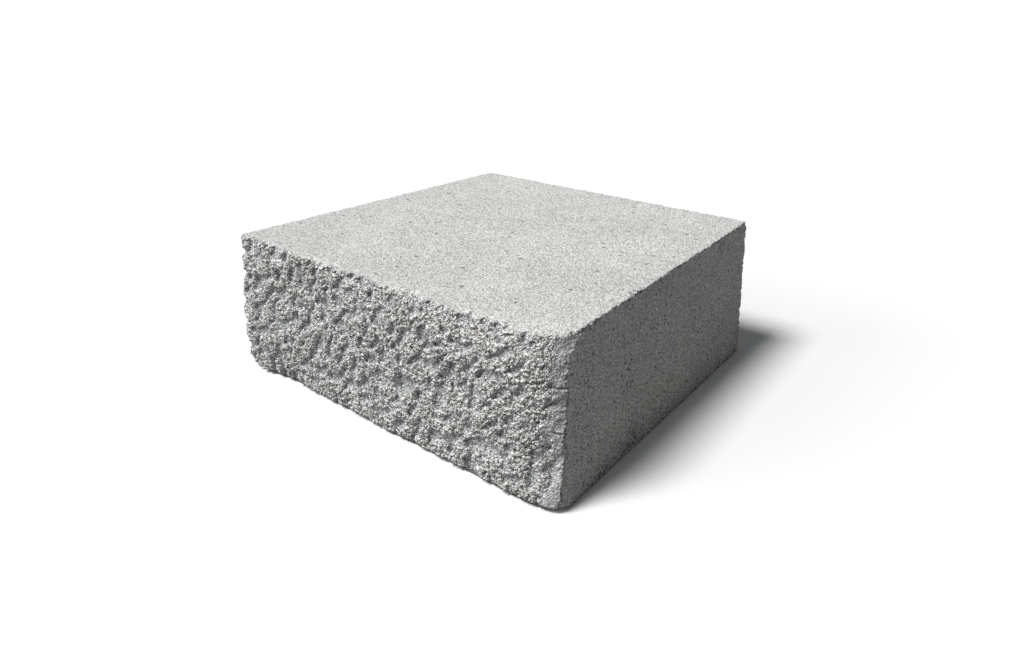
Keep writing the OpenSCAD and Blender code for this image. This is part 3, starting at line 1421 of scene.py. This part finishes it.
@dataclass(frozen=True)
class MouldedFinish:
    """The skin that the mould leaves: mottled and close-grained, with pinholes, and painted shade in its
    pits, pinholes and chips. As it stands, the top's.

    Attributes:
        upper_patch: Colour of the cool, darker tone high up and near the split.
        drag: How much longer the grains are from front to rear than across.
        mottle: Share of the cool and warm clouds in the colour.
        cloud: Contrast of the wide clouds.
        chip_shade_dark: How strong the painted shade in the chips along the arrises is.
        hole_shade: How strong the painted shade in the pits and pinholes is.
        cloud_band: Cloud that is wholly cool, and cloud that is wholly warm.
        chip_band: Noise that starts a chip, and noise at which it is whole.
        pit_band: Depth at which a pit starts to darken and is darkest, in millimetres.
        upper_patch_bend: How far the clouds bend the edge of the patch.
        upper_patch_height: Height at which the patch starts and is whole.
        upper_patch_place: Place from front to rear at which the patch starts and is whole.
        gloss: How much less rough some grains are.
    """

    name: str = "top_concrete"
    colour: Colour = (0.630, 0.627, 0.612, 1)
    cool: Colour = (0.620, 0.615, 0.632, 1)
    warm: Colour = (0.685, 0.640, 0.598, 1)
    upper_patch: Colour = (0.535, 0.535, 0.558, 1)
    # Colour of the painted shade in the pits, the pinholes and the chips.
    painted_shade: Colour = (0.070, 0.070, 0.070, 1)
    upper_patch_share: float = 0.0
    mottle: float = 0.12
    cloud: float = 0.05
    wide_cloud: float = 60 * MM
    narrow_cloud: float = 10 * MM
    cloud_band: Band = (0.25, 0.75)
    upper_patch_bend: float = 40 * MM
    upper_patch_height: Band = (85 * MM, 150 * MM)
    upper_patch_place: Band = (150 * MM, 20 * MM)
    drag: float = 1.4
    warp: float = 0.9
    grain_pitch: float = 1.9 * MM
    grain_contrast: float = 0.03
    grain_relief: float = 0.32
    fine_pitch: float = 0.95 * MM
    fine_contrast: float = 0.43
    fine_relief: float = 0.24
    hole_pitch: float = 8 * MM
    hole_share: float = 0.35
    hole_radius: float = 0.22
    hole_relief: float = 0.8
    hole_shade: float = 0.65
    pit_band: Band = (0.15, 0.9)
    chip_band: Band = (0.46, 0.56)
    chip_shade_dark: float = 0.2
    roughness: float = 0.92
    gloss: float = 0.06
    specular: float = 0.2

    def make(self, patterns: Patterns) -> bpy.types.Material:
        """Makes the material.

        Args:
            patterns: The shared groups.

        Returns:
            The material.
        """
        skin = Skin(self.name)
        graph, place = skin.graph, skin.place
        dragged = graph.add("ShaderNodeVectorMath", operation="MULTIPLY")
        graph.feed(dragged.inputs[0], place)
        dragged.inputs[1].default_value = (1, 1 / self.drag, 1)
        along = dragged.outputs[0]
        clouds = patterns.blotches.place(graph, place, Wide=self.wide_cloud, Narrow=self.narrow_cloud)
        grains = patterns.sand.place(graph, along, Pitch=self.grain_pitch, Warp=self.warp)
        fines = patterns.sand.place(graph, along, Pitch=self.fine_pitch, Warp=self.warp)
        sizes = {"Pitch": self.hole_pitch, "Share": self.hole_share, "Radius": self.hole_radius}
        hole = patterns.pinholes.place(graph, place, **sizes)["Hole"]

        both = graph.total((clouds["Wide"], 0.5), (clouds["Narrow"], 0.5))
        colour = graph.mix(graph.span(both, *self.cloud_band), self.cool, self.warm)
        colour = graph.mix(1 - self.mottle, colour, self.colour)
        # A darker, bluer patch high up and toward the front of the moulded faces.
        upper_patch_amount = graph.product(self.upper_patch_mask(skin, clouds["Wide"]), self.upper_patch_share)
        colour = graph.mix(upper_patch_amount, colour, self.upper_patch)
        shade = graph.product(
            graph.sway(grains["Tone"], self.grain_contrast),
            graph.sway(fines["Tone"], self.fine_contrast),
            graph.sway(clouds["Wide"], self.cloud),
        )
        colour = graph.mix(1.0, colour, shade, "MULTIPLY")
        # Painted shade in the pits and pinholes.
        sunk = graph.math("MAXIMUM", hole, graph.span(graph.read("pit"), *self.pit_band))
        colour = graph.mix(graph.product(sunk, self.hole_shade), colour, self.painted_shade)
        # Painted shade in the chips along the arrises.
        chip_shade = graph.product(graph.chips(place, self.chip_band), self.chip_shade_dark)
        colour = graph.mix(chip_shade, colour, self.painted_shade)

        relief = ((grains["Height"], self.grain_relief), (fines["Height"], self.fine_relief))
        skin.bump(graph.total(*relief, (hole, -self.hole_relief)))
        roughness = graph.span(grains["Tone"], 0, 1, self.roughness - self.gloss, self.roughness)
        return skin.finish(colour, roughness, self.specular)

    def upper_patch_mask(self, skin: Skin, cloud: bpy.types.NodeSocket) -> bpy.types.NodeSocket:
        """Maps the darker, cooler patch: high up and near the split, with a cloudy edge.

        Args:
            skin: The material.
            cloud: The cloud that bends the edge.

        Returns:
            1 in the patch and 0 outside.
        """
        graph = skin.graph
        axes = graph.add("ShaderNodeSeparateXYZ")
        graph.feed(axes.inputs[0], skin.place)
        height, depth = (
            graph.math("MULTIPLY_ADD", cloud, self.upper_patch_bend, axes.outputs[name]) for name in "ZY"
        )
        return graph.product(graph.span(height, *self.upper_patch_height), graph.span(depth, *self.upper_patch_place))


@dataclass(frozen=True)
class SplitFinish:
    """Freshly broken concrete: bright sand in grey paste, darker and bluer in the hollows, with painted
    highlights on raised grains and painted shade in the crevices, the chips and along the foot.

    Attributes:
        crust: Colour of the crusts.
        hollow: Colour of the hollows.
        calm: Colour of the calm strip along the right edge.
        sand_and_highlight: Colour of the brightest grains and of the painted highlights.
        rust: Colour of a few grains.
        crevice_shade: Colour of the painted shade between the nubs and in the chips.
        foot_shade: Colour of the painted shade along the foot, brownish, under the overhanging grains.
        calm_tone: Shade where nothing sways it.
        calm_life: Sway of the calm strip, as a share of the crusts'.
        hollow_life: Sway of the hollows, as a share of the crusts'.
        grain_shade: Two tones of a grain, and the shades that they give.
        fine_shade: Two tones of a fine grain, and the shades that they give.
        seam_shade: Two heights on a fine grain, and the shades that they give: painted shade in the seams
            between fine grains.
        peak_cavity: How far out the bright peaks, a painted highlight partly of bright sand, start and are
            whole, in millimetres.
        peak_tone: Tone of a grain at which the bright peaks start and are whole.
        glint_cavity: How far out the painted glints start and are whole, in millimetres.
        glint_tone: Tone of a grain at which the painted glints start and are whole.
        fleck_tone: Tone of a fine grain at which the rusty flecks start and are whole.
        fleck_cloud: Cloud at which the rusty flecks start and are whole.
        crevice_shade_cavity: How far out the painted shade in the crevices starts and is darkest, in
            millimetres. Both are inward.
        chip_band: Noise that starts a chip, and noise at which it is whole.
        gloss: How much less rough some grains are.
    """

    crust: Colour = (0.855, 0.830, 0.800, 1)
    hollow: Colour = (0.630, 0.645, 0.660, 1)
    calm: Colour = (0.435, 0.440, 0.445, 1)
    sand_and_highlight: Colour = (1.000, 0.990, 0.975, 1)
    rust: Colour = (0.420, 0.330, 0.270, 1)
    crevice_shade: Colour = (0.170, 0.163, 0.156, 1)
    foot_shade: Colour = (0.190, 0.160, 0.148, 1)
    warp: float = 0.8
    grain_pitch: float = 2.3 * MM
    grain_relief: float = 1.15
    fine_pitch: float = 1.5 * MM
    fine_relief: float = 1.75
    cloud_pitch: float = 45 * MM
    calm_share: float = 0.75
    calm_tone: float = 0.9
    calm_life: float = 0.3
    hollow_life: float = 0.75
    grain_shade: tuple[float, float, float, float] = (0.3, 1.0, 0.8, 1.55)
    fine_shade: tuple[float, float, float, float] = (0.0, 1.0, 0.42, 1.8)
    seam_shade: tuple[float, float, float, float] = (0.0, 0.7, 0.5, 1.2)
    peak_cavity: Band = (-0.1, 0.6)
    peak_tone: Band = (0.1, 0.7)
    glint_cavity: Band = (0.0, 0.45)
    glint_tone: Band = (0.4, 0.52)
    fleck_tone: Band = (0.04, 0.0)
    fleck_cloud: Band = (0.3, 0.7)
    fleck_share: float = 0.6
    crevice_shade_cavity: Band = (-0.3, -1.4)
    crevice_shade_share: float = 0.85
    chip_band: Band = (0.5, 0.6)
    chip_shade_share: float = 0.6
    foot_shade_share: float = 0.85
    roughness: float = 0.9
    gloss: float = 0.1
    specular: float = 0.25

    def make(self, patterns: Patterns) -> bpy.types.Material:
        """Makes the material.

        Args:
            patterns: The shared groups.

        Returns:
            The material.
        """
        skin = Skin("split_concrete")
        graph, place = skin.graph, skin.place
        cloud = patterns.blotches.place(graph, place, Wide=self.cloud_pitch)["Wide"]
        grains = patterns.sand.place(graph, place, Pitch=self.grain_pitch, Warp=self.warp)
        fines = patterns.sand.place(graph, place, Pitch=self.fine_pitch, Warp=self.warp)
        cavity, hollow, strip = (graph.read(name) for name in ("cavity", "hollow", "calm"))
        lively = graph.line(strip, 1.0, self.calm_life)
        sway = graph.product(graph.line(hollow, 1.0, self.hollow_life), lively)

        colour = graph.mix(hollow, self.crust, self.hollow)
        # Raised grains made bright: painted highlight, partly bright sand.
        peak = graph.product(
            graph.span(cavity, *self.peak_cavity),
            graph.span(grains["Tone"], *self.peak_tone),
        )
        colour = graph.mix(peak, colour, self.sand_and_highlight)
        colour = graph.mix(graph.product(strip, self.calm_share), colour, self.calm)
        fleck = graph.product(
            graph.span(fines["Tone"], *self.fleck_tone),
            graph.span(cloud, *self.fleck_cloud),
        )
        colour = graph.mix(graph.product(fleck, self.fleck_share), colour, self.rust)
        # Random tones of the grains and fine grains, times painted shade in the seams between fine grains.
        shade = graph.product(
            graph.span(grains["Tone"], *self.grain_shade),
            graph.span(fines["Tone"], *self.fine_shade),
            graph.span(fines["Height"], *self.seam_shade),
        )
        shade = graph.math("MULTIPLY_ADD", shade, sway, graph.line(sway, self.calm_tone, 0.0))
        colour = graph.mix(1.0, colour, shade, "MULTIPLY")
        # Painted highlight: whole grains on raised points set nearly white over the shade.
        glint = graph.product(
            graph.span(cavity, *self.glint_cavity),
            graph.span(grains["Tone"], *self.glint_tone),
            lively,
        )
        colour = graph.mix(glint, colour, self.sand_and_highlight)
        # Painted shade in the crevices: darker the deeper a point lies below those around it.
        deep_shade = graph.span(cavity, *self.crevice_shade_cavity, 0.0, self.crevice_shade_share)
        colour = graph.mix(deep_shade, colour, self.crevice_shade)
        # Painted shade in the chips along the arrises.
        chip_shade = graph.product(graph.chips(place, self.chip_band), self.chip_shade_share)
        colour = graph.mix(chip_shade, colour, self.crevice_shade)
        # Painted shade along the foot, under the overhanging grains, in a brownish tone.
        colour = graph.mix(graph.product(graph.read("foot_shade"), self.foot_shade_share), colour, self.foot_shade)

        relief = graph.total((grains["Height"], self.grain_relief), (fines["Height"], self.fine_relief))
        skin.bump(graph.product(relief, sway))
        roughness = graph.span(grains["Tone"], 0, 1, self.roughness - self.gloss, self.roughness)
        return skin.finish(colour, roughness, self.specular)


SIDE_FINISH = MouldedFinish(
    "side_concrete",
    upper_patch_share=0.5,
    mottle=0.7,
    drag=1.0,
    grain_contrast=0.05,
    fine_contrast=0.6,
    hole_pitch=5 * MM,
    hole_share=0.5,
    hole_radius=0.27,
    hole_shade=0.85,
    chip_shade_dark=1.0,
)


# ---------------------------------------------------------------------------------------------
# The studio: camera, light, floor
# ---------------------------------------------------------------------------------------------


@dataclass(frozen=True)
class Lamp:
    """A far lamp: the way to it, its strength and how wide it looks."""

    name: str
    toward: tuple[float, float, float]
    strength: float
    angle: float

    def place(self) -> None:
        """Adds the lamp to the scene."""
        data = bpy.data.lights.new(self.name, "SUN")
        data.energy = self.strength
        data.angle = self.angle
        lamp = bpy.data.objects.new(self.name, data)
        lamp.rotation_mode = "QUATERNION"
        lamp.rotation_quaternion = Vector(self.toward).to_track_quat("Z", "Y")
        bpy.context.scene.collection.objects.link(lamp)


@dataclass
class Studio:
    """A white floor under soft light from the upper left, and the camera."""

    azimuth: float = math.radians(40.92)
    elevation: float = math.radians(18.93)
    roll: float = math.radians(-1.063)
    distance: float = 994.2 * MM
    aim: tuple[float, float, float] = (-91.4 * MM, 121.3 * MM, 71.0 * MM)
    lens: float = 29.91
    shift_y: float = -0.08
    key: Lamp = Lamp("key", (-0.185, -0.480, 0.858), 3.04, math.radians(20))
    fill: Lamp = Lamp("fill", (-0.550, -0.760, 0.346), 1.10, math.radians(40))
    sky: float = 0.105
    sky_colour: Colour = (0.94, 0.975, 1.07, 1)
    floor_size: float = 40.0
    floor_drop: float = 0.05 * MM
    floor_bounce: float = 0.27

    def add_camera(self) -> None:
        """Adds the camera and makes it the scene's."""
        level, rise = self.azimuth, self.elevation
        back = Vector((math.sin(level) * math.cos(rise), -math.cos(level) * math.cos(rise), math.sin(rise)))
        right = Vector((0, 0, 1)).cross(back).normalized()
        up = back.cross(right)
        cosine, sine = math.cos(self.roll), math.sin(self.roll)
        turned = Matrix((cosine * right + sine * up, cosine * up - sine * right, back)).transposed()
        data = bpy.data.cameras.new("camera")
        data.lens = self.lens
        data.shift_y = self.shift_y
        camera = bpy.data.objects.new("camera", data)
        camera.matrix_world = Matrix.Translation(Vector(self.aim) + self.distance * back) @ turned.to_4x4()
        bpy.context.scene.collection.objects.link(camera)
        bpy.context.scene.camera = camera

    def add_light(self) -> None:
        """Adds the two lamps and the even light of the room."""
        self.key.place()
        self.fill.place()
        world = bpy.data.worlds.new("room")
        world.use_nodes = True
        graph = Graph(world.node_tree)
        background = world.node_tree.nodes["Background"]
        seen = self.seen_directly(graph)
        graph.feed(background.inputs["Strength"], graph.span(seen, 0, 1, self.sky, 1.0))
        graph.feed(background.inputs["Color"], graph.mix(seen, self.sky_colour, WHITE))
        bpy.context.scene.world = world

    @staticmethod
    def seen_directly(graph: Graph) -> bpy.types.NodeSocket:
        """Tells what is seen from what only lights.

        Args:
            graph: The graph of the room's light or of the floor's material.

        Returns:
            1 for what the camera, a gloss or a glass shows, and 0 for the rest.
        """
        rays = graph.add("ShaderNodeLightPath").outputs
        sharp = graph.math("MAXIMUM", rays["Is Glossy Ray"], rays["Is Transmission Ray"])
        return graph.math("MAXIMUM", rays["Is Camera Ray"], sharp)

    def add_floor(self) -> None:
        """Adds the floor, white to the eye and greyer to the light that it throws back."""
        half = self.floor_size / 2
        corners = np.array([(-half, -half, 0), (half, -half, 0), (half, half, 0), (-half, half, 0)], float)
        corners[:, 2] = CAD_BOX[0][2] - self.floor_drop
        floor = bpy.data.objects.new("floor", new_mesh("floor", corners, np.array([[0, 1, 2, 3]])))
        skin = Skin("floor")
        bounce = self.floor_bounce
        colour = skin.graph.mix(self.seen_directly(skin.graph), (bounce, bounce, bounce, 1), WHITE)
        floor.data.materials.append(skin.finish(colour, 1.0, 0.0))
        bpy.context.scene.collection.objects.link(floor)


def main() -> None:
    """Builds the studio and the block, and dresses the block."""
    logging.basicConfig(level=logging.INFO, format="%(name)s: %(message)s")
    bpy.context.scene.view_settings.view_transform = "Standard"
    studio = Studio()
    studio.add_camera()
    studio.add_light()
    studio.add_floor()
    log.info("studio ready")
    solid = Solid()
    log.info("solid felt: draw %.3f, half width %.1f mm", solid.draw, solid.middle_half_width / MM)
    split = SplitFace(solid)
    log.info("split face laid: %d points", split.y.size)
    maker = WallBlock(solid, split)
    block = maker.build()
    log.info("block skinned: %d triangles", len(block.data.polygons))
    patterns = Patterns()
    finishes = dict.fromkeys(Face, SIDE_FINISH.make(patterns))
    finishes[Face.TOP] = MouldedFinish().make(patterns)
    finishes[Face.FRONT] = SplitFinish().make(patterns)
    maker.dress(block, finishes)
    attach(block, BODY)
    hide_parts(NODE)
    log.info("block dressed")


if __name__ == "__main__":
    main()
